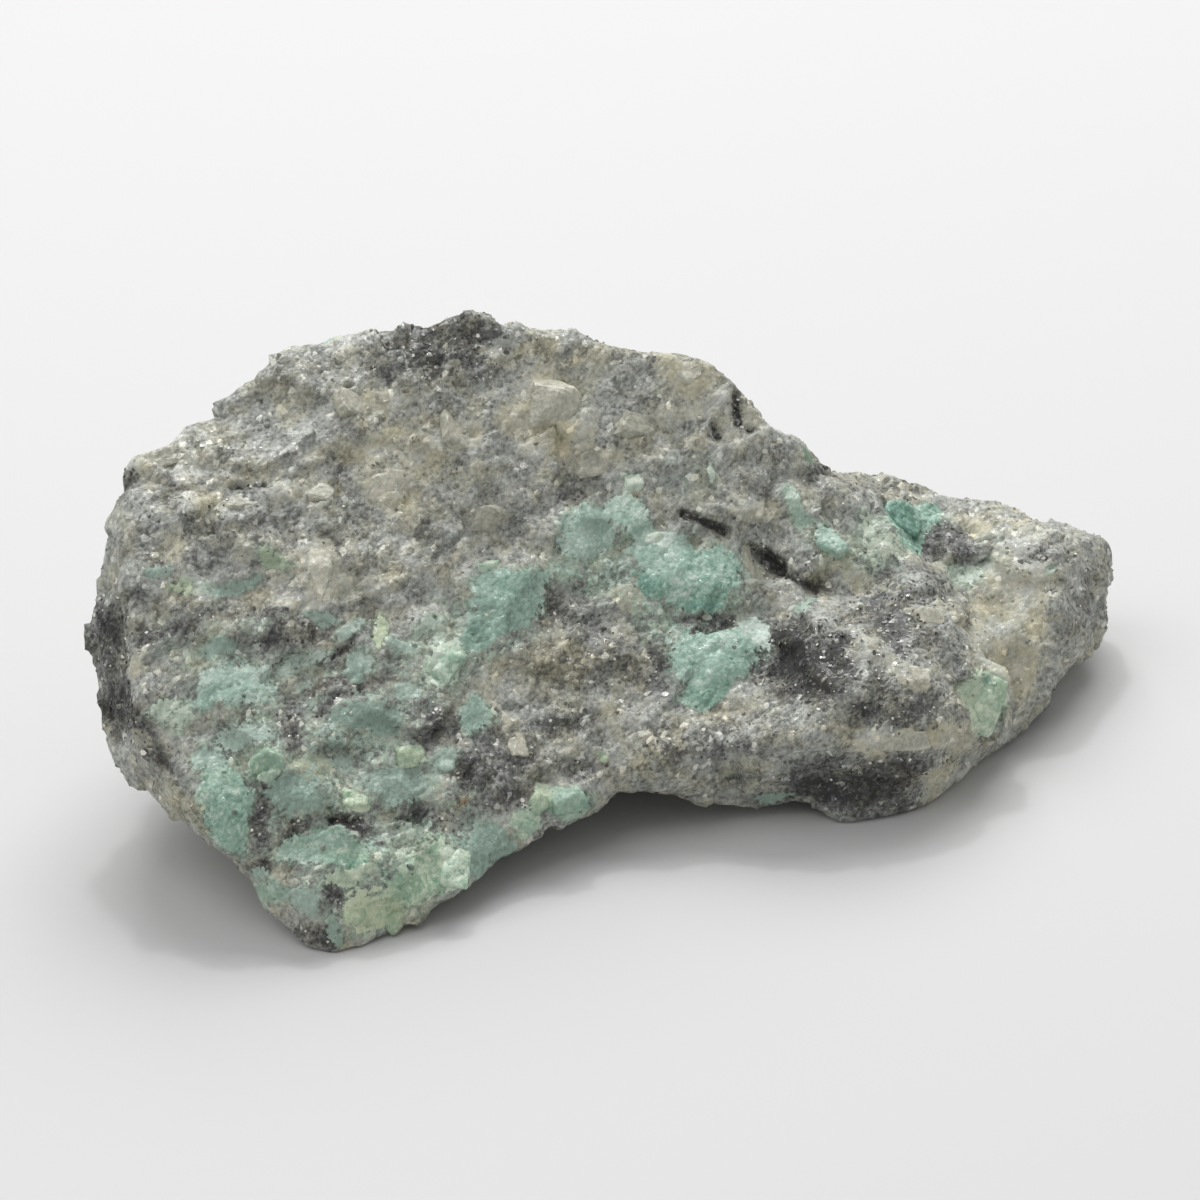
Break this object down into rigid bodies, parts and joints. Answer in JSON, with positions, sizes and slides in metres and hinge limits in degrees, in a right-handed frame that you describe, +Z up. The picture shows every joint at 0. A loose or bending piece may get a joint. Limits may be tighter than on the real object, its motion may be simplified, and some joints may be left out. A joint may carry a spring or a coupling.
{
  "type": "rough emerald",
  "caption": "Rough emerald in its matrix: a broken, leaning lump of grey mica schist with green beryl grown through it, resting on small flat spots.",
  "frame": {"origin": "on the surface that the stone rests on, under the middle of its box", "axes": "+X along the stone's length towards its thin tail, +Z up, and -Y towards the side with the broad green face"},
  "size_m": [0.0802, 0.0498, 0.033],
  "materials": {
    "schist_with_beryl": "rough broken stone, with satin green beryl and glints of mica"
  },
  "bodies": {
    "root": {"rough_emerald": "schist_with_beryl"}
  },
  "joints": []
}
